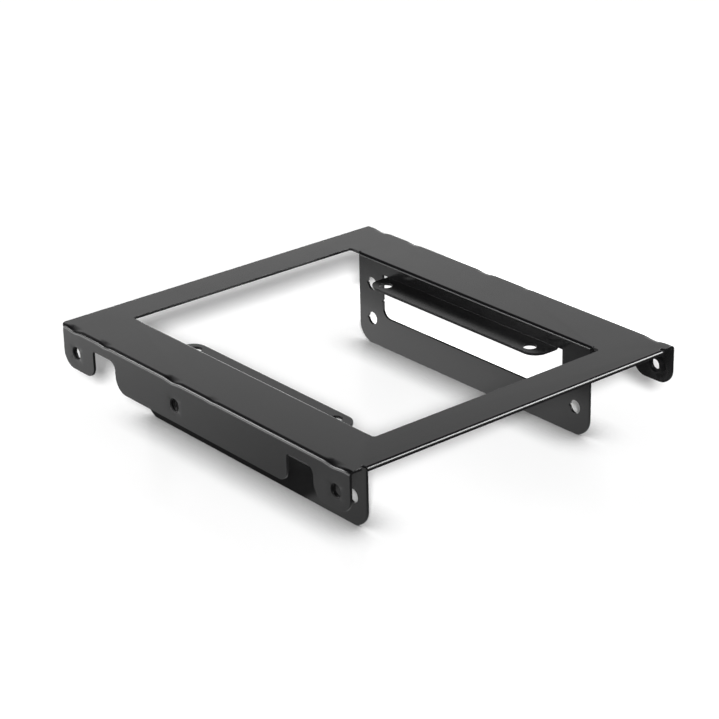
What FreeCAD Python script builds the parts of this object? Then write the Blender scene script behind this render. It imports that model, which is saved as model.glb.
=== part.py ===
import FreeCAD, Part
import math
import os
from FreeCAD import Vector

# Drive bay adapter bracket: one blank of steel sheet, cut flat, folded and painted.
# It holds two small drives, one above the other, in a bay made for one large drive.
#
# Millimetres. X runs across the bay, Y from the front edge to the rear, Z up.
# The bracket stands on the lower edges of its two inner walls. The origin lies at
# that level, under the middle of the whole piece.
#
# Every place along Y is first a distance behind the front face of the front lip,
# and is moved to the middle by the function along().

# Sheet and folds
sheet = 0.7
bend_inside = 0.1
flange_bend_inside = 0.4

# Side flanges, which the screws of the bay go into
bay_width = 101.6
flange_drop = 10.8
bay_hole_drop = 6.35
front_hole_pitch = 60.0
rear_hole_pitch = 41.6
front_hole_margin = 5.0
rear_hole_margin = 5.35
flange_setback_front = 0.75
flange_setback_rear = 1.1

# The two notches divide each flange into a front tab, a long middle and a rear tab
front_tab = 12.7
rear_tab = 13.0
notch_width = 9.5
notch_drop = 3.3
notch_rear_radius = 0.8
notch_front_radius = 2.2
tab_front_radius = 4.0
tab_rear_radius = 4.0
middle_front_radius = 3.0
rear_tab_front_radius = 3.0
fold_end_radius = 1.7

# Tapped holes: the sheet is drawn inwards into a collar, which takes the thread
thread_bore = 2.85
thread_entry_diameter = 3.6
thread_entry_depth = 0.25
collar_diameter = 4.5
collar_height = 0.6
dimple_diameter = 7.4
dimple_depth = 0.14

# Sunk places in the side folds, where drawing a hole or cutting a notch pulled the
# fold down, and where two lengths of the folding tool met
hole_sink = 0.36
hole_sink_reach = 3.6
hole_sink_offset = 0.9
notch_sink = 0.27
notch_sink_reach = 3.0
tool_joint_sink = 0.14
tool_joint_reach = 2.4
tool_joint_from_middle_hole = 14.6
sink_step = 1.2
fold_strip_width = 2.1
fold_strip_drop = 2.6

# Front lip, turned down between the side folds, with a slot cut at each end
lip_drop = 1.05
lip_end_gap = 4.6
lip_slot_width = 1.0
lip_slot_reach = 0.7

# Inner walls, which hold the drives by their side holes
drive_width = 69.85
drive_play = 0.075
drive_hole_pitch = 76.6
drive_row_pitch = 10.0
drive_hole_height = 3.0
drive_hole_diameter = 3.5
drive_hole_from_bay_hole = 12.6
wall_front_margin = 4.85
wall_rear_margin = 5.2
wall_foot = 7.25
wall_corner_radius = 5.0
nick_width = 0.5
nick_reach = 0.3

# Window in the plate, which the inner walls are turned down from
window_front_gap = 2.75
window_rear_gap = 4.0
window_edge_gap = 0.45
window_corner_radius = 0.8
wall_slot_width = 0.5
wall_slot_reach = 0.15

# Cut-out in each inner wall, with a shelf turned inwards at its upper edge
cutout_front_web = 9.45
cutout_rear_web = 9.6
cutout_sill = 8.9
cutout_radius = 2.5
cutout_nick_rise = 2.1
shelf_drop = 3.75
shelf_reach = 7.35
shelf_end_gap = 2.0
shelf_corner_radius = 3.8
shelf_hole_margin = 5.1
shelf_hole_pitch = 54.3
shelf_hole_from_drive_side = 4.065
shelf_hole_diameter = 3.5

# Worked out from the sizes above
bend_outside = bend_inside + sheet
flange_bend_outside = flange_bend_inside + sheet
half_width = bay_width / 2
lip_end = half_width - lip_end_gap
wall_face = drive_width / 2 + drive_play
through = 1.0

front_hole = flange_setback_front + front_hole_margin
middle_hole = front_hole + front_hole_pitch
rear_hole = middle_hole + rear_hole_pitch
bay_holes = [front_hole, middle_hole, rear_hole]
flange_front = flange_setback_front
flange_rear = rear_hole + rear_hole_margin
depth = flange_rear + flange_setback_rear

lower_row = wall_foot
upper_row = lower_row + drive_row_pitch
shelf_underside = upper_row + drive_hole_height
shelf_top = shelf_underside + sheet
plate_top = shelf_top + shelf_drop
plate_underside = plate_top - sheet
bend_bottom = plate_top - bend_outside

front_drive_hole = front_hole + drive_hole_from_bay_hole
rear_drive_hole = front_drive_hole + drive_hole_pitch
drive_holes = [front_drive_hole, rear_drive_hole]
wall_front = front_drive_hole - wall_front_margin
wall_rear = rear_drive_hole + wall_rear_margin
cutout_front = wall_front + cutout_front_web
cutout_rear = wall_rear - cutout_rear_web
cutout_top = shelf_top + bend_inside
shelf_front = cutout_front + shelf_end_gap
shelf_rear = cutout_rear - shelf_end_gap
shelf_hole_x = drive_width / 2 - shelf_hole_from_drive_side
front_shelf_hole = shelf_front + shelf_hole_margin
shelf_holes = [front_shelf_hole, front_shelf_hole + shelf_hole_pitch]
window_front = wall_front - window_front_gap
window_rear = wall_rear + window_rear_gap


def along(distance):
    """Y of a place that lies this far behind the front face of the lip."""
    return distance - depth / 2


def side_view(x):
    """Placer for outlines drawn as seen from the side, in the plane at x."""
    return lambda distance, z: Vector(x, along(distance), z)


def plan_view(z):
    """Placer for outlines drawn as seen from above, in the plane at z."""
    return lambda x, distance: Vector(x, along(distance), z)


def rounded_face(corners, place):
    """Face whose corners (u, v, radius) are rounded by arcs tangent to their runs."""
    points = [Vector(u, v, 0) for u, v, radius in corners]
    count = len(points)
    directions = []
    runs = []
    for i in range(count):
        step = points[(i + 1) % count] - points[i]
        runs.append(step.Length)
        directions.append(step * (1 / step.Length))
    half_turns = []
    setbacks = []
    for i in range(count):
        half_turn = directions[i - 1].getAngle(directions[i]) / 2
        half_turns.append(half_turn)
        setbacks.append(corners[i][2] * math.tan(half_turn))
    for i in range(count):
        following = (i + 1) % count
        share = runs[i] / max(setbacks[i] + setbacks[following], runs[i])
        setbacks[i] *= share
        setbacks[following] *= share

    edges = []
    for i in range(count):
        following = (i + 1) % count
        start = points[i] + directions[i] * setbacks[i]
        end = points[following] - directions[i] * setbacks[following]
        if (end - start).Length > 1e-6:
            edges.append(Part.makeLine(place(start.x, start.y), place(end.x, end.y)))
        if setbacks[following] > 0:
            leave = points[following] + directions[following] * setbacks[following]
            radius = setbacks[following] / math.tan(half_turns[following])
            rise = radius / math.cos(half_turns[following]) - radius
            inwards = directions[following] - directions[i]
            middle = points[following] + inwards * (rise / inwards.Length)
            arc = Part.Arc(place(end.x, end.y), place(middle.x, middle.y), place(leave.x, leave.y))
            edges.append(arc.toShape())
    return Part.Face(Part.Wire(edges))


def quarter_fold(centre, first, second, run):
    """Quarter turn of sheet about centre, from one direction to another, run long."""
    halfway = (first + second) * math.sqrt(0.5)

    def arc(radius):
        ends = (centre + first * radius, centre + second * radius)
        return Part.Arc(ends[0], centre + halfway * radius, ends[1]).toShape()

    def cap(direction):
        return Part.makeLine(centre + direction * bend_inside, centre + direction * bend_outside)

    edges = Part.__sortEdges__([arc(bend_outside), cap(second), arc(bend_inside), cap(first)])
    return Part.Face(Part.Wire(edges)).extrude(run)


def cross_hole(diameter, x, distance, z, length):
    """Cylinder along X, which starts at x."""
    return Part.makeCylinder(diameter / 2, length, Vector(x, along(distance), z), Vector(1, 0, 0))


def nick(x, distance, z, length):
    """Small nick that the punch left at the rear side of an opening."""
    corner = Vector(x, along(distance) - nick_reach, z - nick_width / 2)
    return Part.makeBox(length, 2 * nick_reach, nick_width, corner)


def fold_marks():
    """Sunk places of a side fold: middle, depth and reach to each side."""
    marks = [(hole + hole_sink_offset, hole_sink, hole_sink_reach) for hole in bay_holes]
    notch_middle = flange_rear - rear_tab - notch_width / 2
    marks.append((notch_middle, notch_sink, notch_sink_reach))
    marks.append((middle_hole - tool_joint_from_middle_hole, tool_joint_sink, tool_joint_reach))
    return marks


def fold_sink(distance):
    """How far the side fold lies below its straight line at this place."""
    sink = 0.0
    for middle, deep, reach in fold_marks():
        offset = (distance - middle) / reach
        if abs(offset) < 1:
            sink = max(sink, deep * (1 + math.cos(math.pi * offset)) / 2)
    return sink


def fold_section(distance):
    """Section of the left side fold: plate edge, bend and the top of the flange."""
    sink = fold_sink(distance)
    y = along(distance)
    outer = -half_width
    inner = outer + sheet
    strip_edge = outer + fold_strip_width
    across = fold_strip_width - flange_bend_outside
    bend_centre = Vector(outer + flange_bend_outside, y, plate_top - flange_bend_outside - sink)

    def on_bend(radius, angle):
        """Point of the bend, at an angle from straight up towards the outer side."""
        return bend_centre + Vector(-math.sin(angle), 0, math.cos(angle)) * radius

    def bend(radius):
        """Start, arc and end of the bend, where the edge strip runs tangent onto it."""
        rise = radius + sink
        lean = math.acos(radius / math.hypot(across, rise)) - math.atan2(across, rise)
        start = on_bend(radius, lean)
        middle = on_bend(radius, (lean + math.pi / 2) / 2)
        end = on_bend(radius, math.pi / 2)
        return start, Part.Arc(start, middle, end).toShape(), end

    top = Vector(strip_edge, y, plate_top)
    underside = Vector(strip_edge, y, plate_underside)
    outer_foot = Vector(outer, y, plate_top - fold_strip_drop)
    inner_foot = Vector(inner, y, plate_top - fold_strip_drop)
    outer_start, outer_arc, outer_end = bend(flange_bend_outside)
    inner_start, inner_arc, inner_end = bend(flange_bend_inside)
    edges = [
        Part.makeLine(top, outer_start),
        outer_arc,
        Part.makeLine(outer_end, outer_foot),
        Part.makeLine(outer_foot, inner_foot),
        Part.makeLine(inner_foot, inner_end),
        inner_arc,
        Part.makeLine(inner_start, underside),
        Part.makeLine(underside, top),
    ]
    return Part.Wire(edges)


def side_fold():
    """Fold between the plate and the left flange, sunk a little at its marks."""
    places = {flange_front, depth}
    for middle, deep, reach in fold_marks():
        steps = 2 * max(2, round(reach / sink_step))
        for step in range(steps + 1):
            place = middle + reach * (2 * step / steps - 1)
            if flange_front < place < depth:
                places.add(place)
    sections = [fold_section(place) for place in sorted(places)]
    return Part.makeLoft(sections, True, True)


def flange_blank():
    """Left flange and its fold's end, cut to the outline with the two notches."""
    foot = plate_top - flange_drop
    notch_top = plate_top - notch_drop
    front_notch = flange_front + front_tab
    rear_notch = flange_rear - rear_tab
    above = plate_top + through
    outline = [
        (flange_front, above, 0),
        (flange_front, foot, tab_front_radius),
        (front_notch, foot, tab_rear_radius),
        (front_notch, notch_top, notch_front_radius),
        (front_notch + notch_width, notch_top, notch_rear_radius),
        (front_notch + notch_width, foot, middle_front_radius),
        (rear_notch - notch_width, foot, tab_rear_radius),
        (rear_notch - notch_width, notch_top, notch_front_radius),
        (rear_notch, notch_top, notch_rear_radius),
        (rear_notch, foot, rear_tab_front_radius),
        (flange_rear, foot, tab_rear_radius),
        (flange_rear, plate_underside, 0),
        (depth + through, plate_underside, 0),
        (depth + through, above, 0),
    ]
    start = -half_width - through
    trim = rounded_face(outline, side_view(start)).extrude(Vector(fold_strip_width + 2 * through, 0, 0))
    length = flange_rear - flange_front
    leg_drop = flange_drop - fold_strip_drop
    leg = Part.makeBox(sheet, length, leg_drop, Vector(-half_width, along(flange_front), foot))
    corner = [
        (-half_width, depth, 0),
        (-half_width, depth - fold_end_radius, 0),
        (-half_width + fold_end_radius, depth, 0),
    ]
    corner_block = rounded_face(corner, plan_view(plate_underside - through)).extrude(Vector(0, 0, 3))
    keep = Part.makeCylinder(
        fold_end_radius,
        3,
        plan_view(plate_underside - through)(-half_width + fold_end_radius, depth - fold_end_radius),
    )
    return side_fold().fuse(leg).common(trim).cut(corner_block.cut(keep))


def drawn_hole(flange, distance):
    """Flange with a hole drawn inwards: dimple, wide entry, bore and collar."""
    face = Vector(-half_width, along(distance), plate_top - bay_hole_drop)
    inwards = Vector(1, 0, 0)
    end = sheet + collar_height
    collar = Part.makeCylinder(collar_diameter / 2, end, face, inwards)
    bore = Part.makeCylinder(thread_bore / 2, end + 2 * through, face - inwards * through, inwards)
    widening = (thread_entry_diameter - thread_bore) / thread_entry_depth
    entry = Part.makeCone(
        thread_entry_diameter / 2 + widening * through / 2,
        thread_bore / 2,
        thread_entry_depth + through,
        face - inwards * through,
        inwards,
    )
    dimple_radius = (dimple_diameter ** 2 / 4 + dimple_depth ** 2) / (2 * dimple_depth)
    dimple = Part.makeSphere(dimple_radius, face - inwards * (dimple_radius - dimple_depth))
    return flange.fuse(collar).cut([dimple, bore, entry])


def left_flange():
    """Left flange with its fold and its three tapped holes."""
    flange = flange_blank()
    for hole in bay_holes:
        flange = drawn_hole(flange, hole)
    return flange


def left_wall():
    """Left inner wall: fold from the plate, wall with holes and cut-out, and shelf."""
    back = -wall_face - sheet
    length = Vector(0, wall_rear - wall_front, 0)
    fold_centre = Vector(-wall_face - bend_outside, along(wall_front), bend_bottom)
    fold = quarter_fold(fold_centre, Vector(0, 0, 1), Vector(1, 0, 0), length)

    outline = [
        (wall_front, 0, wall_corner_radius),
        (wall_rear, 0, wall_corner_radius),
        (wall_rear, bend_bottom, 0),
        (wall_front, bend_bottom, 0),
    ]
    wall = rounded_face(outline, side_view(back)).extrude(Vector(sheet, 0, 0))
    cutout = [
        (cutout_front, cutout_sill, cutout_radius),
        (cutout_rear, cutout_sill, cutout_radius),
        (cutout_rear, cutout_top, 0),
        (cutout_front, cutout_top, 0),
    ]
    start = back - through
    reach = sheet + 2 * through
    tools = [rounded_face(cutout, side_view(start)).extrude(Vector(reach, 0, 0))]
    for row in (lower_row, upper_row):
        for hole in drive_holes:
            tools.append(cross_hole(drive_hole_diameter, start, hole, row, reach))
            tools.append(nick(start, hole + drive_hole_diameter / 2, row, reach))
    nick_height = cutout_sill + cutout_radius + cutout_nick_rise
    tools.append(nick(start, cutout_rear, nick_height, reach))
    return wall.cut(tools).fuse([fold, left_shelf()])


def left_shelf():
    """Shelf turned inwards from the upper edge of the left wall's cut-out."""
    length = Vector(0, shelf_rear - shelf_front, 0)
    centre = Vector(-wall_face + bend_inside, along(shelf_front), cutout_top)
    fold = quarter_fold(centre, Vector(-1, 0, 0), Vector(0, 0, -1), length)
    edge = -wall_face + shelf_reach
    outline = [
        (centre.x, shelf_front, 0),
        (edge, shelf_front, shelf_corner_radius),
        (edge, shelf_rear, shelf_corner_radius),
        (centre.x, shelf_rear, 0),
    ]
    shelf = rounded_face(outline, plan_view(shelf_underside)).extrude(Vector(0, 0, sheet))
    holes = []
    for hole in shelf_holes:
        foot = plan_view(shelf_underside - through)(-shelf_hole_x, hole)
        holes.append(Part.makeCylinder(shelf_hole_diameter / 2, sheet + 2 * through, foot))
    return shelf.cut(holes).fuse(fold)


def plate():
    """Flat of the plate, with the window and the slots at the lip's ends cut out."""
    edge = half_width - fold_strip_width
    slot_outer = lip_end + lip_slot_width
    slot_bottom = bend_outside + lip_slot_reach
    right_front = [
        (lip_end, bend_outside, 0),
        (lip_end, slot_bottom, 0),
        (slot_outer, slot_bottom, 0),
        (slot_outer, flange_front, 0),
        (edge, flange_front, 0),
    ]
    left_front = [(-x, distance, radius) for x, distance, radius in reversed(right_front)]
    rear = [(edge, depth, 0), (-edge, depth, 0)]
    outline = rounded_face(left_front + right_front + rear, plan_view(plate_underside))
    flat = outline.extrude(Vector(0, 0, sheet))
    corner_x = wall_face + window_edge_gap
    window = rounded_face([
        (-corner_x, window_front, window_corner_radius),
        (corner_x, window_front, window_corner_radius),
        (corner_x, window_rear, window_corner_radius),
        (-corner_x, window_rear, window_corner_radius),
    ], plan_view(plate_underside - through)).extrude(Vector(0, 0, sheet + 2 * through))
    bend_line = wall_face + bend_outside
    bend_bed = Part.makeBox(
        2 * bend_line,
        wall_rear - wall_front,
        sheet + 2 * through,
        plan_view(plate_underside - through)(-bend_line, wall_front),
    )
    tools = [window, bend_bed]
    slot_edge = bend_line + wall_slot_reach
    for start in (wall_front - wall_slot_width, wall_rear):
        tools.append(Part.makeBox(
            2 * slot_edge,
            wall_slot_width,
            sheet + 2 * through,
            plan_view(plate_underside - through)(-slot_edge, start),
        ))
    return flat.cut(tools)


def front_lip():
    """Short lip turned down along the front edge, between the side folds."""
    run = Vector(2 * lip_end, 0, 0)
    centre = plan_view(bend_bottom)(-lip_end, bend_outside)
    fold = quarter_fold(centre, Vector(0, 0, 1), Vector(0, -1, 0), run)
    foot = plan_view(plate_top - lip_drop)(-lip_end, 0)
    leg = Part.makeBox(2 * lip_end, sheet, lip_drop - bend_outside, foot)
    return fold.fuse(leg)


def bracket():
    """The whole bracket, one solid of folded sheet."""
    left = left_flange().fuse(left_wall())
    right = left.mirror(Vector(0, 0, 0), Vector(1, 0, 0))
    whole = plate().fuse([front_lip(), left, right])
    return whole.removeSplitter().Solids[0]


os.makedirs("parts", exist_ok=True)
part = bracket()
part.exportStep("parts/adapter_bracket.step")
box = part.BoundBox
print("size", round(box.XLength, 2), round(box.YLength, 2), round(box.ZLength, 2))
print("volume in cubic centimetres", round(part.Volume / 1000, 3))
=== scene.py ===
# %% [markdown]
# # A drive bay adapter bracket in black paint
# The object is one sheet of steel, cut flat, folded and painted black. It holds two
# small drives in a bay that was made for one large drive. The solid comes from the
# frame that is loaded here. This lesson gives it rounded cut edges, threads in its
# tapped holes and a real coat of paint, and then sets up the studio.

# %% Load the frame
import math
import bmesh
import bpy
from mathutils import Matrix, Vector
from mathutils.bvhtree import BVHTree


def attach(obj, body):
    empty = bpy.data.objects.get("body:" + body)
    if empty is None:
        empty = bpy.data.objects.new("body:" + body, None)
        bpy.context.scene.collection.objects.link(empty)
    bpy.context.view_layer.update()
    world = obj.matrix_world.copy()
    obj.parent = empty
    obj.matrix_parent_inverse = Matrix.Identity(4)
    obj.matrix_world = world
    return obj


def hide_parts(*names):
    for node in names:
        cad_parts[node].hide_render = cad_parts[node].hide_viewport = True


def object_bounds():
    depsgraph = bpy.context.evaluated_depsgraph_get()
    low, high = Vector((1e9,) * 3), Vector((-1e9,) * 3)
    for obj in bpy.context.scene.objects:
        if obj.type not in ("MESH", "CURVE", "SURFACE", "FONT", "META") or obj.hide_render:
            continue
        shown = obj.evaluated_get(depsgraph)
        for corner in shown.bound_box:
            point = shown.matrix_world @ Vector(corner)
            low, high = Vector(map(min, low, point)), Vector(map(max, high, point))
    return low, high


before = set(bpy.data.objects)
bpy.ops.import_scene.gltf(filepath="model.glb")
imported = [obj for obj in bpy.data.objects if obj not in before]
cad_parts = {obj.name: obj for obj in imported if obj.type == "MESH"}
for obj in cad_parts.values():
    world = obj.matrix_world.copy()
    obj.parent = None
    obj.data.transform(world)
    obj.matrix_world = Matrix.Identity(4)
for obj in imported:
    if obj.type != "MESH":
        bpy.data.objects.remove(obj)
cad_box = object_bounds()
bracket_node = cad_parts["adapter_bracket"]
scene = bpy.context.scene
mm = 0.001


def in_mm(box):
    """Side lengths of a box in millimetres, for printing."""
    return [round(side / mm, 2) for side in box[1] - box[0]]


print("solid:", len(bracket_node.data.polygons), "triangles,", in_mm(cad_box), "mm")

# %% [markdown]
# ## Camera
# A photo fixes its camera: straight edges of known length only line up from one place.
# The values below were fitted to the tapped holes and the corners of the bracket, so
# the render can be laid over the photo. The lens is given in pixels of a square frame,
# and Blender wants millimetres on its sensor, so one is worked out from the other.

# %% Camera
VIEW_AZIMUTH = -0.6874
VIEW_ELEVATION = 0.4145
VIEW_ROLL = -0.0236
FOCAL_PIXELS = 2305.26
FRAME_PIXELS = 719
SENSOR_WIDTH = 36
ORIGIN_IN_CAMERA = Vector((0.0370505, 0.0328913, 0.5348486))
FITTED_ORIGIN_BEHIND = 0.05575
NEAREST_SEEN = 0.01
FARTHEST_SEEN = 10


def photo_camera():
    """Camera at the photo's place, with level lines turned by the fitted roll."""
    look = Vector((
        -math.sin(VIEW_AZIMUTH) * math.cos(VIEW_ELEVATION),
        math.cos(VIEW_AZIMUTH) * math.cos(VIEW_ELEVATION),
        -math.sin(VIEW_ELEVATION),
    ))
    level = Vector((math.cos(VIEW_AZIMUTH), math.sin(VIEW_AZIMUTH), 0))
    upright = level.cross(look)
    right = level * math.cos(VIEW_ROLL) + upright * math.sin(VIEW_ROLL)
    up = upright * math.cos(VIEW_ROLL) - level * math.sin(VIEW_ROLL)
    place = -(Matrix((right, -up, look)).transposed() @ ORIGIN_IN_CAMERA)
    place.y -= FITTED_ORIGIN_BEHIND
    lens = bpy.data.cameras.new("photo_camera")
    lens.sensor_width = SENSOR_WIDTH
    lens.lens = FOCAL_PIXELS * SENSOR_WIDTH / FRAME_PIXELS
    lens.clip_start = NEAREST_SEEN
    lens.clip_end = FARTHEST_SEEN
    camera = bpy.data.objects.new("photo_camera", lens)
    turned = Matrix((right, up, -look)).transposed().to_4x4()
    camera.matrix_world = Matrix.Translation(place) @ turned
    scene.collection.objects.link(camera)
    scene.camera = camera
    return look


print("camera looks along", [round(part, 3) for part in photo_camera()])

# %% [markdown]
# ## The folded sheet
# The node's mesh is loose triangles and must stay as it is, so the work is done on a
# copy. Its points are merged and flat areas become single faces, because a bevel only
# works along an edge that two faces share.

# %% The folded sheet
SAME_POINT = 0.001 * mm
FLAT_TURN = math.radians(0.2)


def add_object(name, mesh):
    """New object at the origin, linked to the scene."""
    thing = bpy.data.objects.new(name, mesh)
    scene.collection.objects.link(thing)
    return thing


def bake_modifiers(thing):
    """Turns what the modifiers make into the object's own plain mesh."""
    shown = thing.evaluated_get(bpy.context.evaluated_depsgraph_get())
    plain = bpy.data.meshes.new_from_object(shown)
    thing.modifiers.clear()
    thing.data = plain
    plain.name = thing.name


def open_edges(shape):
    """Number of edges that don't join exactly two faces; a closed mesh has none."""
    return sum(1 for edge in shape.edges if len(edge.link_faces) != 2)


sheet_mesh = bpy.data.meshes.new("folded_sheet")
work = bmesh.new()
work.from_mesh(bracket_node.data)
bmesh.ops.remove_doubles(work, verts=work.verts, dist=SAME_POINT)
bmesh.ops.dissolve_limit(work, angle_limit=FLAT_TURN, verts=work.verts, edges=work.edges)
print("merged:", len(work.faces), "faces, open edges:", open_edges(work))
work.to_mesh(sheet_mesh)
work.free()
folded_sheet = add_object("folded_sheet", sheet_mesh)

# %% [markdown]
# ## Widening the bores
# The solid has plain bores at the inner diameter of the thread. A real thread is cut
# outwards from there, so the copy's bores are opened to just past the thread's outer
# diameter. The mouth at the face is opened too, but less: the bevel that comes next
# needs room before the first edge of the dimple. The threads fill the bores again.

# %% Widening the bores
HALF_WIDTH = 50.8 * mm
FLANGE_ZONE = 45 * mm
HOLE_HEIGHT = 18.35 * mm
HOLE_PLACES = [-51.15 * mm, 8.85 * mm, 50.45 * mm]
BORE_RADIUS = 1.425 * mm
MOUTH_RADIUS = 1.64 * mm
OPENED_BORE = 1.86 * mm
OPENED_MOUTH = 1.76 * mm
NEARLY = 0.04 * mm

widenings = [(BORE_RADIUS, OPENED_BORE), (MOUTH_RADIUS, OPENED_MOUTH)]
moved = 0
for point in sheet_mesh.vertices:
    if abs(point.co.x) < FLANGE_ZONE:
        continue
    for place in HOLE_PLACES:
        across = Vector((0, point.co.y - place, point.co.z - HOLE_HEIGHT))
        for radius, opened in widenings:
            if abs(across.length - radius) < NEARLY:
                point.co += across * (opened / radius - 1)
                moved += 1
                break
print("bore and mouth points moved outwards:", moved)

# %% [markdown]
# ## Rounding the cut edges
# Punching leaves a cut edge with a small round, and paint rounds it further. A sharp
# edge on a model never catches light, so each edge that turns sharply gets a narrow
# bevel. Where a bevel has too little room, its points can land off the sheet. Those go
# back to the nearest place on the sheet as it was, and none leaves the solid's box.

# %% Rounding the cut edges
EDGE_ROUND = 0.07 * mm
EDGE_SEGMENTS = 2
SHARP_TURN = math.radians(38)
STRAY = 0.03 * mm
PROUD = 0.002 * mm

unrounded = BVHTree.FromPolygons([point.co for point in sheet_mesh.vertices],
                                 [face.vertices for face in sheet_mesh.polygons])
bevel = folded_sheet.modifiers.new("edge round", "BEVEL")
bevel.width = EDGE_ROUND
bevel.segments = EDGE_SEGMENTS
bevel.limit_method = "ANGLE"
bevel.angle_limit = SHARP_TURN
bevel.use_clamp_overlap = False
bevel.miter_outer = "MITER_ARC"
weigh = folded_sheet.modifiers.new("flat faces stay flat", "WEIGHTED_NORMAL")
weigh.keep_sharp = True
for face in sheet_mesh.polygons:
    face.use_smooth = True
bake_modifiers(folded_sheet)

put_back = 0
for point in folded_sheet.data.vertices:
    nearest, normal, index, away = unrounded.find_nearest(point.co)
    if away > STRAY or (point.co - nearest).dot(normal) > PROUD:
        point.co = nearest
        put_back += 1
    for axis in range(3):
        point.co[axis] = min(max(point.co[axis], cad_box[0][axis]), cad_box[1][axis])
print("rounded:", len(folded_sheet.data.polygons), "faces; points put back:", put_back)

# %% [markdown]
# ## Threads
# Six holes are tapped for an inch screw with 32 turns to the inch. A tap cuts a spiral
# groove, so the radius of the hole wall depends on the angle and the depth together.
# Geometry Nodes suit a shape that follows a rule: a grid is bent round into a tube, each
# point gets its radius from the rule, and the tube is then placed in every hole.
#
# The grid's first row and its last two lie on the outside of the sleeve, and the last
# one returns to the start, which closes the sleeve. All rows between are the thread.

# %% Threads
CREST_SHARE = 0.25
FLANK_SHARE = 0.625
OUTSIDE_ROWS = 3
SAME_THREAD_POINT = 0.0005 * mm


def calculate(tree, operation, *inputs):
    """Math node on sockets or plain numbers; gives its result socket."""
    maths = tree.nodes.new("ShaderNodeMath")
    maths.operation = operation
    for slot, value in enumerate(inputs):
        if isinstance(value, (int, float)):
            maths.inputs[slot].default_value = value
        else:
            tree.links.new(value, maths.inputs[slot])
    return maths.outputs[0]


def combine(tree, operation, values):
    """Joins any number of sockets by the same operation, one after another."""
    result = values[0]
    for value in values[1:]:
        result = calculate(tree, operation, result, value)
    return result


def add_sockets(face, direction, kind, names):
    """Adds sockets of one kind to a node group's interface."""
    for name in names:
        face.new_socket(name, in_out=direction, socket_type="NodeSocket" + kind)


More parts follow.
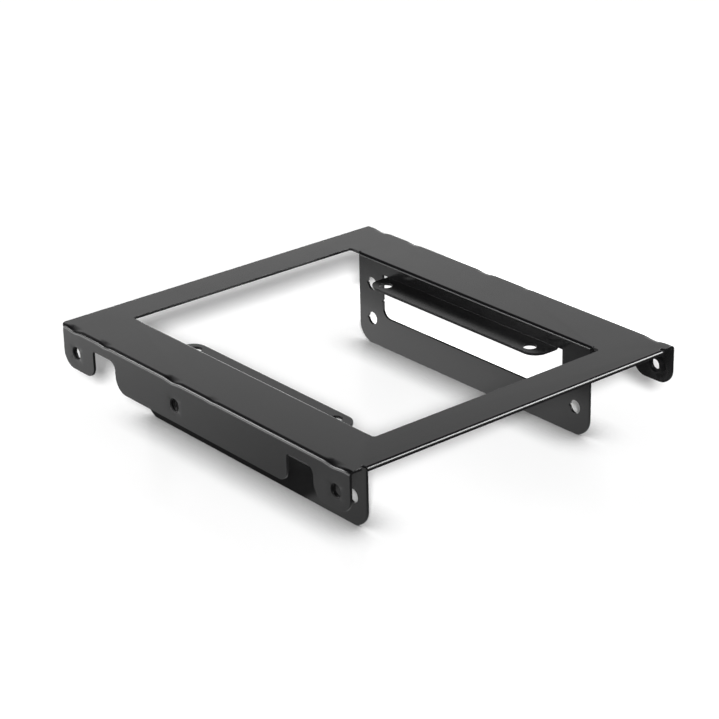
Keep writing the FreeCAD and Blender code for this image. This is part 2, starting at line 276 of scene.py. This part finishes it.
def thread_tree(paint):
    """Geometry Nodes tree that turns hole points into threaded sleeves."""
    tree = bpy.data.node_groups.new("tapped_thread", "GeometryNodeTree")
    add_sockets(tree.interface, "INPUT", "Geometry", ["Holes"])
    add_sockets(tree.interface, "INPUT", "Float",
                ["Pitch", "Crest", "Root", "Entry", "Entry depth", "Start", "End", "Outside"])
    add_sockets(tree.interface, "INPUT", "Int", ["Around", "Along"])
    add_sockets(tree.interface, "OUTPUT", "Geometry", ["Threads"])
    given = tree.nodes.new("NodeGroupInput").outputs
    links = tree.links

    def maths(operation, *inputs):
        return calculate(tree, operation, *inputs)

    def from_zero_to_one(value):
        return maths("MINIMUM", maths("MAXIMUM", value, 0), 1)

    # Which turn and which row of the grid a point is on
    grid = tree.nodes.new("GeometryNodeMeshGrid")
    grid.inputs["Size X"].default_value = 1
    grid.inputs["Size Y"].default_value = 1
    links.new(given["Around"], grid.inputs["Vertices X"])
    links.new(given["Along"], grid.inputs["Vertices Y"])
    position = tree.nodes.new("GeometryNodeInputPosition")
    split = tree.nodes.new("ShaderNodeSeparateXYZ")
    links.new(position.outputs[0], split.inputs[0])
    turn = maths("ADD", split.outputs["X"], 0.5)
    angle = maths("MULTIPLY", turn, 2 * math.pi)
    last_row = maths("SUBTRACT", given["Along"], 1)
    row = maths("ROUND", maths("MULTIPLY", maths("ADD", split.outputs["Y"], 0.5), last_row))
    rows_left = maths("SUBTRACT", last_row, row)

    # Depth in the hole: rises along the thread, and the last row is at the start again
    thread_rows = maths("SUBTRACT", last_row, OUTSIDE_ROWS)
    share = from_zero_to_one(maths("DIVIDE", maths("SUBTRACT", row, 1), thread_rows))
    is_last = maths("LESS_THAN", rows_left, 0.5)
    share = maths("MULTIPLY", share, maths("SUBTRACT", 1, is_last))
    span = maths("SUBTRACT", given["End"], given["Start"])
    depth = maths("ADD", given["Start"], maths("MULTIPLY", share, span))

    # Radius: crest, flank and root of the thread, or the cone where that is wider
    phase = maths("FRACT", maths("SUBTRACT", maths("DIVIDE", depth, given["Pitch"]), turn))
    wave = maths("ABSOLUTE", maths("SUBTRACT", maths("MULTIPLY", phase, 2), 1))
    flank = maths("DIVIDE", maths("SUBTRACT", wave, CREST_SHARE), FLANK_SHARE)
    thread_depth = maths("SUBTRACT", given["Root"], given["Crest"])
    groove = maths("MULTIPLY", from_zero_to_one(flank), thread_depth)
    narrowing = maths("SUBTRACT", given["Entry"], given["Crest"])
    slope = maths("DIVIDE", narrowing, given["Entry depth"])
    cone = maths("SUBTRACT", given["Entry"], maths("MULTIPLY", slope, depth))
    wall = maths("MAXIMUM", maths("ADD", given["Crest"], groove), cone)
    inside = maths("MULTIPLY", maths("GREATER_THAN", row, 0.5),
                   maths("GREATER_THAN", rows_left, 1.5))
    to_outside = maths("SUBTRACT", given["Outside"], wall)
    widen = maths("MULTIPLY", maths("SUBTRACT", 1, inside), to_outside)
    radius = maths("ADD", wall, widen)

    # Bend the grid round, close its seam and put one in each hole
    place = tree.nodes.new("ShaderNodeCombineXYZ")
    links.new(depth, place.inputs["X"])
    links.new(maths("MULTIPLY", radius, maths("COSINE", angle)), place.inputs["Y"])
    links.new(maths("MULTIPLY", radius, maths("SINE", angle)), place.inputs["Z"])
    bend = tree.nodes.new("GeometryNodeSetPosition")
    links.new(grid.outputs["Mesh"], bend.inputs["Geometry"])
    links.new(place.outputs[0], bend.inputs["Position"])
    merge = tree.nodes.new("GeometryNodeMergeByDistance")
    merge.inputs["Distance"].default_value = SAME_THREAD_POINT
    links.new(bend.outputs["Geometry"], merge.inputs["Geometry"])
    put = tree.nodes.new("GeometryNodeInstanceOnPoints")
    links.new(given["Holes"], put.inputs["Points"])
    links.new(merge.outputs["Geometry"], put.inputs["Instance"])
    real = tree.nodes.new("GeometryNodeRealizeInstances")
    links.new(put.outputs["Instances"], real.inputs["Geometry"])
    colour = tree.nodes.new("GeometryNodeSetMaterial")
    colour.inputs["Material"].default_value = paint
    links.new(real.outputs["Geometry"], colour.inputs["Geometry"])
    result = tree.nodes.new("NodeGroupOutput")
    links.new(colour.outputs["Geometry"], result.inputs["Threads"])
    return tree


# %% [markdown]
# ## Black paint
# The finish is a semi-gloss black, sprayed and baked. Its surface is never quite flat:
# drops that flowed together leave a fine orange peel, and the gloss varies a little from
# place to place. The diffuse colour is nearly black, so most of what the eye sees is a
# soft reflection of the studio. The orange peel is a node group, so that the sheet and
# the threads share it with values of their own.

# %% Black paint
ORANGE_PEEL_HEIGHT = 0.003 * mm
GRAIN_ROUGHNESS = 0.55
FINE_DETAIL = 1.5
FINE_HEIGHT_SHARE = 0.6
SLOW_DETAIL = 2
SLOW_TO_FINE = 9
PATCHES_PER_METRE = 70
PATCH_DETAIL = 3
PATCH_SHARE = 0.7
GRAIN_LOW = 0.35
GRAIN_HIGH = 0.65
BLUE_IN_DARK = 1.06
BLUE_IN_LIGHT = 1.05
# The threads' low gloss dims what the hole walls mirror, which adds to the painted shade in the
# holes.
THREAD_GLOSS = 0.12


def paint_surface_group():
    """Shader group with the paint's fine relief and its uneven gloss and colour."""
    group = bpy.data.node_groups.new("paint_surface", "ShaderNodeTree")
    add_sockets(group.interface, "INPUT", "Float",
                ["Grain per metre", "Roughness low", "Roughness high"])
    add_sockets(group.interface, "INPUT", "Color", ["Dark", "Light"])
    add_sockets(group.interface, "OUTPUT", "Color", ["Colour"])
    add_sockets(group.interface, "OUTPUT", "Float", ["Roughness", "Height"])
    given = group.nodes.new("NodeGroupInput").outputs
    result = group.nodes.new("NodeGroupOutput").inputs
    where = group.nodes.new("ShaderNodeTexCoord")
    links = group.links

    def maths(operation, *inputs):
        return calculate(group, operation, *inputs)

    def noise(scale, detail):
        grain = group.nodes.new("ShaderNodeTexNoise")
        grain.inputs["Detail"].default_value = detail
        grain.inputs["Roughness"].default_value = GRAIN_ROUGHNESS
        if isinstance(scale, (int, float)):
            grain.inputs["Scale"].default_value = scale
        else:
            links.new(scale, grain.inputs["Scale"])
        links.new(where.outputs["Object"], grain.inputs["Vector"])
        return grain.outputs["Fac"]

    fine = noise(given["Grain per metre"], FINE_DETAIL)
    slow = noise(maths("DIVIDE", given["Grain per metre"], SLOW_TO_FINE), SLOW_DETAIL)
    patches = noise(PATCHES_PER_METRE, PATCH_DETAIL)
    height = maths("ADD", maths("MULTIPLY", fine, FINE_HEIGHT_SHARE), slow)
    links.new(height, result["Height"])
    uneven = maths("ADD", maths("MULTIPLY", patches, PATCH_SHARE),
                   maths("MULTIPLY", fine, 1 - PATCH_SHARE))
    spread = group.nodes.new("ShaderNodeMapRange")
    spread.inputs["From Min"].default_value = GRAIN_LOW
    spread.inputs["From Max"].default_value = GRAIN_HIGH
    links.new(uneven, spread.inputs["Value"])
    links.new(given["Roughness low"], spread.inputs["To Min"])
    links.new(given["Roughness high"], spread.inputs["To Max"])
    links.new(spread.outputs["Result"], result["Roughness"])
    tone = group.nodes.new("ShaderNodeMix")
    tone.data_type = "RGBA"
    links.new(uneven, tone.inputs["Factor"])
    links.new(given["Dark"], tone.inputs["A"])
    links.new(given["Light"], tone.inputs["B"])
    links.new(tone.outputs["Result"], result["Colour"])
    return group


def black_paint(name, group, grain, roughness, tones):
    """Painted metal; roughness and tones are pairs of a lowest and a highest value."""
    material = bpy.data.materials.new(name)
    material.use_nodes = True
    nodes = material.node_tree.nodes
    links = material.node_tree.links
    shader = nodes["Principled BSDF"]
    surface = nodes.new("ShaderNodeGroup")
    surface.node_tree = group
    surface.inputs["Grain per metre"].default_value = grain
    surface.inputs["Roughness low"].default_value = roughness[0]
    surface.inputs["Roughness high"].default_value = roughness[1]
    dark, light = tones
    surface.inputs["Dark"].default_value = (dark, dark, BLUE_IN_DARK * dark, 1)
    surface.inputs["Light"].default_value = (light, light, BLUE_IN_LIGHT * light, 1)
    bump = nodes.new("ShaderNodeBump")
    bump.inputs["Strength"].default_value = 1
    bump.inputs["Distance"].default_value = ORANGE_PEEL_HEIGHT
    links.new(surface.outputs["Height"], bump.inputs["Height"])
    links.new(surface.outputs["Colour"], shader.inputs["Base Color"])
    links.new(surface.outputs["Roughness"], shader.inputs["Roughness"])
    links.new(bump.outputs["Normal"], shader.inputs["Normal"])
    return material


surface_group = paint_surface_group()
sheet_paint = black_paint("black_paint", surface_group, grain=1400,
                          roughness=(0.2, 0.26), tones=(0.0025, 0.004))
# The threads' paint is darker than the sheet's: painted shade inside the tapped holes.
thread_paint = black_paint("thread_paint", surface_group, grain=3000,
                           roughness=(0.16, 0.22), tones=(0.0012, 0.002))
thread_shader = thread_paint.node_tree.nodes["Principled BSDF"]
thread_shader.inputs["Specular IOR Level"].default_value = THREAD_GLOSS
folded_sheet.data.materials.clear()
folded_sheet.data.materials.append(sheet_paint)
print("materials:", sheet_paint.name, thread_paint.name)

# %% [markdown]
# ## Threads in place
# The tree gets its sizes through its named inputs, found by each socket's identifier.
# What it makes is then turned into a plain mesh, since an export knows no instances.

# %% Threads in place
THREAD_INPUTS = {
    "Pitch": 25.4 / 32 * mm,
    "Crest": BORE_RADIUS,
    "Root": 3.505 / 2 * mm,
    "Entry": 1.93 * mm,
    "Entry depth": 0.25 * mm,
    "Start": 0.115 * mm,
    "End": 1.295 * mm,
    "Outside": 1.9 * mm,
    "Around": 49,
    "Along": 20,
}
THREAD_SHARP_TURN = math.radians(40)


def threads_for(name, tree, side):
    """Threaded sleeves of one flange's holes; side is 1 on the left, -1 on the right."""
    mesh = bpy.data.meshes.new(name)
    mesh.from_pydata([(0, side * place, 0) for place in HOLE_PLACES], [], [])
    thing = add_object(name, mesh)
    maker = thing.modifiers.new("threads", "NODES")
    maker.node_group = tree
    for item in tree.interface.items_tree:
        if item.in_out == "INPUT" and item.name in THREAD_INPUTS:
            maker[item.identifier] = THREAD_INPUTS[item.name]
    bake_modifiers(thing)
    turn = Matrix.Rotation(0 if side > 0 else math.pi, 4, "Z")
    start = Matrix.Translation(Vector((-side * HALF_WIDTH, 0, HOLE_HEIGHT)))
    thing.data.transform(start @ turn)
    shape = bmesh.new()
    shape.from_mesh(thing.data)
    bmesh.ops.recalc_face_normals(shape, faces=shape.faces)
    print(name, len(shape.faces), "faces, open edges:", open_edges(shape))
    shape.to_mesh(thing.data)
    shape.free()
    for face in thing.data.polygons:
        face.use_smooth = True
    thing.data.set_sharp_from_angle(angle=THREAD_SHARP_TURN)
    return thing


tapped_thread = thread_tree(thread_paint)
threads = [threads_for("left_threads", tapped_thread, 1),
           threads_for("right_threads", tapped_thread, -1)]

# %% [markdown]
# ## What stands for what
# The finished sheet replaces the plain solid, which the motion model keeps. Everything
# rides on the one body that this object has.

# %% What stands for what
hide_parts("adapter_bracket")
for piece in [folded_sheet] + threads:
    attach(piece, "root")

# %% [markdown]
# ## Floor
# The bracket stands on a plain white table. The table is darker where the sheet comes
# close to it, which an ambient occlusion node measures, and that gives the soft contact
# shadow. For the camera the table's material adds a little white, more of it far from
# the lamp. Beyond the right wall it adds a patch of painted light, which covers the key
# lamp's shadow there.
#
# The paint mirrors the table too, and for glossy rays the table has a painted brightness
# of its own, so the reflections on the sheet are painted reflections: brighter at the
# back, glowing along the right wall and at the left front, and dark in the channel
# between the left flange and its wall, a painted shade. Each such area is a product of
# ramps along the table's X and Y, in metres, from where a ramp starts to where it is full.

# %% Floor
FLOOR_HALF = 4.0
TO_THE_BACK = [("Y", -0.075, 0.09)]
FAR_BACK = [("Y", 0.09, 0.25)]
# Areas of painted glow that the paint mirrors as painted reflections
ALONG_RIGHT_WALL = [("X", 0.014, 0.021), ("Y", -0.08, 0.0)]
LEFT_FRONT = [("X", -0.030, -0.034), ("Y", -0.008, -0.016)]
# Area of painted shade in the mirrored table, in the channel under the left flange
LEFT_CHANNEL_PAINTED_SHADE = [("X", -0.052, -0.048), ("X", -0.030, -0.034), ("Y", -0.0225, -0.0195)]
# Area of painted light on the table beyond the right wall, covering the key lamp's shadow there
BEYOND_RIGHT_WALL = [("X", 0.040, 0.047), ("Y", -0.020, -0.008), ("Y", 0.075, 0.068)]

# The table as the camera sees it
CONTACT_REACH = 11.5 * mm
CONTACT_DEPTH = 2.0
CONTACT_SAMPLES = 4
MATT_WHITE = 0.9
SATIN_WHITE = 0.1
SATIN_ROUGHNESS = 0.25
KEY_DISTANCE = 3.0
PLACE_NEAR_KEY = (-1.697, -2.059, 1.381)
LIGHT_LOSS_POWER = 3
WHITE_ALL_OVER = 0.08
WHITE_FAR_FROM_KEY = 0.8
PAINTED_LIGHT_BEYOND_WALL = 0.8

# The table as the paint mirrors it: painted reflections and painted shade
MIRRORED_AT_FRONT = 0.06
MIRRORED_RISE = 0.75
PAINTED_REFLECTION_GLOWS = [(TO_THE_BACK, 0.2), (FAR_BACK, 1.5), (ALONG_RIGHT_WALL, 0.8),
                  (LEFT_FRONT, 0.2)]
CHANNEL_SHADE_STRENGTH = 0.85


def floor_material():
    """White table: one surface for the camera, another for what the paint mirrors."""
    material = bpy.data.materials.new("white_table")
    material.use_nodes = True
    tree = material.node_tree
    nodes = tree.nodes
    links = tree.links
    nodes.remove(nodes["Principled BSDF"])
    where = nodes.new("ShaderNodeTexCoord").outputs["Object"]
    split = nodes.new("ShaderNodeSeparateXYZ")
    links.new(where, split.inputs[0])
    ray = nodes.new("ShaderNodeLightPath").outputs

    def maths(operation, *inputs):
        return calculate(tree, operation, *inputs)

    def area(ramps):
        """Mask of one area of the table: the product of its ramps."""
        masks = []
        for axis, start, full in ramps:
            ramp = nodes.new("ShaderNodeMapRange")
            ramp.inputs["From Min"].default_value = start
            ramp.inputs["From Max"].default_value = full
            links.new(split.outputs[axis], ramp.inputs["Value"])
            masks.append(ramp.outputs["Result"])
        return combine(tree, "MULTIPLY", masks)

    def shader(kind, driven, value):
        """Shader node with one socket driven by a value."""
        made = nodes.new(kind)
        links.new(value, made.inputs[driven])
        return made

    def pair(kind, first, second):
        """Node that adds or mixes two shaders."""
        both = nodes.new(kind)
        ends = [socket for socket in both.inputs if socket.type == "SHADER"]
        links.new(first.outputs[0], ends[0])
        links.new(second.outputs[0], ends[1])
        return both

    touch = nodes.new("ShaderNodeAmbientOcclusion")
    touch.samples = CONTACT_SAMPLES
    touch.inputs["Distance"].default_value = CONTACT_REACH
    contact = maths("POWER", touch.outputs["AO"], CONTACT_DEPTH)
    matt = shader("ShaderNodeBsdfDiffuse", "Color", maths("MULTIPLY", contact, MATT_WHITE))
    satin = nodes.new("ShaderNodeBsdfGlossy")
    satin.inputs["Color"].default_value = (SATIN_WHITE, SATIN_WHITE, SATIN_WHITE, 1)
    satin.inputs["Roughness"].default_value = SATIN_ROUGHNESS

    away = nodes.new("ShaderNodeVectorMath")
    away.operation = "DISTANCE"
    links.new(where, away.inputs[0])
    away.inputs[1].default_value = PLACE_NEAR_KEY
    nearness = maths("DIVIDE", KEY_DISTANCE, away.outputs["Value"])
    lost = maths("SUBTRACT", 1, maths("POWER", nearness, LIGHT_LOSS_POWER))
    lost = maths("MAXIMUM", lost, 0)
    white = maths("ADD", maths("MULTIPLY", lost, WHITE_FAR_FROM_KEY), WHITE_ALL_OVER)
    # Painted light beyond the right wall, seen by the camera only
    beyond = maths("MULTIPLY", area(BEYOND_RIGHT_WALL), PAINTED_LIGHT_BEYOND_WALL)
    white = maths("ADD", maths("MULTIPLY", white, contact), beyond)
    glow = shader("ShaderNodeEmission", "Strength", maths("MULTIPLY", ray["Is Camera Ray"], white))
    seen = pair("ShaderNodeAddShader", pair("ShaderNodeAddShader", matt, satin), glow)

    # Painted shade in the channel between the left flange and its wall, seen only in reflections
    outside_channel_shade = maths("SUBTRACT", 1, maths("MULTIPLY", area(LEFT_CHANNEL_PAINTED_SHADE), CHANNEL_SHADE_STRENGTH))
    rising = maths("MULTIPLY", area(TO_THE_BACK), MIRRORED_RISE)
    pale = maths("MULTIPLY", maths("ADD", rising, MIRRORED_AT_FRONT), outside_channel_shade)
    dim = shader("ShaderNodeBsdfDiffuse", "Color", pale)
    # Painted glows that the paint mirrors as reflections
    glows = [maths("MULTIPLY", area(ramps), strength) for ramps, strength in PAINTED_REFLECTION_GLOWS]
    bright = maths("MULTIPLY", combine(tree, "ADD", glows), outside_channel_shade)
    painted_reflection_glow = shader("ShaderNodeEmission", "Strength", bright)
    mirrored = pair("ShaderNodeAddShader", dim, painted_reflection_glow)

    surface = pair("ShaderNodeMixShader", seen, mirrored)
    links.new(ray["Is Glossy Ray"], surface.inputs[0])
    links.new(surface.outputs[0], nodes["Material Output"].inputs["Surface"])
    return material


floor_mesh = bpy.data.meshes.new("floor")
corners = [(-FLOOR_HALF, -FLOOR_HALF, 0), (FLOOR_HALF, -FLOOR_HALF, 0),
           (FLOOR_HALF, FLOOR_HALF, 0), (-FLOOR_HALF, FLOOR_HALF, 0)]
floor_mesh.from_pydata(corners, [], [(0, 1, 2, 3)])
floor_mesh.materials.append(floor_material())
floor = add_object("floor", floor_mesh)

# %% [markdown]
# ## Studio light
# The photo's own reflections tell where its lights were. The plate mirrors a pale
# backdrop that fades upwards, the turned edges go black where they mirror the dark room
# higher up, and the bright lines on the side fold and the front lip are small lights:
# a strip and a low card along the left flange, and a soft box in front on the right.
# Those three are only mirrored. The light itself comes from one key lamp far behind the
# camera and a little higher, so each shadow falls almost straight behind its edge.

# %% Studio light
# Azimuth and elevation in degrees, distance, width and height in metres, radiance, aim
MIDDLE_OF_BRACKET = (0, 0, 0.01)
KEY_LIGHT = ("key_light", 219.5, 26.3, KEY_DISTANCE, 0.36, 0.36, 418, MIDDLE_OF_BRACKET)
MIRRORED_LIGHTS = [
    ("left_strip_light", -90, 38, 0.08, 0.12, 0.018, 13, (-0.05, 0.075, 0.024)),
    ("low_left_card", -90, 8, 0.1, 0.3, 0.078, 2.5, (-0.05, 0.12, 0.026)),
    ("front_right_light", 130, 34, 1.2, 0.55, 0.4, 20, MIDDLE_OF_BRACKET),
]

# Spans of height of the backdrop, each with the brightness that is left at its end
HEIGHT_FADES = [(0.315, 0.44, 0.55), (0.44, 0.605, 0.6), (0.615, 0.645, 0.0)]
# Azimuth, start and end of a fade towards it, and the brightness at both
BACKDROP_SIDE = (39, -0.3, 0.4, 0.6, 1.0)
DARK_GAP = (-42, 0.5, 0.85, 1.0, 0.03)
MATT_RAY_LIGHT = 0.14


def soft_box(name, azimuth, elevation, distance, width, height, radiance, aim):
    """Area lamp that shines on the point aim; azimuth 0 is behind it, along +Y."""
    turn = math.radians(azimuth)
    rise = math.radians(elevation)
    towards = Vector((
        math.sin(turn) * math.cos(rise),
        math.cos(turn) * math.cos(rise),
        math.sin(rise),
    ))
    lamp = bpy.data.lights.new(name, "AREA")
    lamp.shape = "RECTANGLE"
    lamp.size = width
    lamp.size_y = height
    lamp.energy = radiance * math.pi * width * height
    thing = bpy.data.objects.new(name, lamp)
    place = towards * distance + Vector(aim)
    turned = towards.to_track_quat("Z", "Y").to_matrix().to_4x4()
    thing.matrix_world = Matrix.Translation(place) @ turned
    thing.visible_camera = False
    scene.collection.objects.link(thing)
    return thing


def studio_world():
    """Pale backdrop behind that fades upwards, and a dark room on the camera's side."""
    world = bpy.data.worlds.new("studio")
    world.use_nodes = True
    tree = world.node_tree
    where = tree.nodes.new("ShaderNodeTexCoord")
    split = tree.nodes.new("ShaderNodeSeparateXYZ")
    tree.links.new(where.outputs["Generated"], split.inputs[0])

    def maths(operation, *inputs):
        return calculate(tree, operation, *inputs)

    def fade(value, start, end, first, last):
        ramp = tree.nodes.new("ShaderNodeMapRange")
        ramp.inputs["From Min"].default_value = start
        ramp.inputs["From Max"].default_value = end
        ramp.inputs["To Min"].default_value = first
        ramp.inputs["To Max"].default_value = last
        tree.links.new(value, ramp.inputs["Value"])
        return ramp.outputs["Result"]

    def towards(azimuth):
        turn = math.radians(azimuth)
        return maths("ADD", maths("MULTIPLY", split.outputs["X"], math.sin(turn)),
                     maths("MULTIPLY", split.outputs["Y"], math.cos(turn)))

    parts = [fade(split.outputs["Z"], start, end, 1.0, left) for start, end, left in HEIGHT_FADES]
    parts += [fade(towards(azimuth), *span) for azimuth, *span in (BACKDROP_SIDE, DARK_GAP)]
    ray = tree.nodes.new("ShaderNodeLightPath").outputs
    mirrored = maths("MULTIPLY", ray["Is Glossy Ray"], combine(tree, "MULTIPLY", parts))
    matt = maths("MULTIPLY", ray["Is Diffuse Ray"], MATT_RAY_LIGHT)
    background = tree.nodes["Background"].inputs
    background["Color"].default_value = (1, 1, 1, 1)
    total = combine(tree, "ADD", [mirrored, matt, ray["Is Camera Ray"]])
    tree.links.new(total, background["Strength"])
    scene.world = world


key_light = soft_box(*KEY_LIGHT)
key_light.visible_glossy = False
for values in MIRRORED_LIGHTS:
    soft_box(*values).visible_diffuse = False
studio_world()
scene.view_settings.view_transform = "Standard"
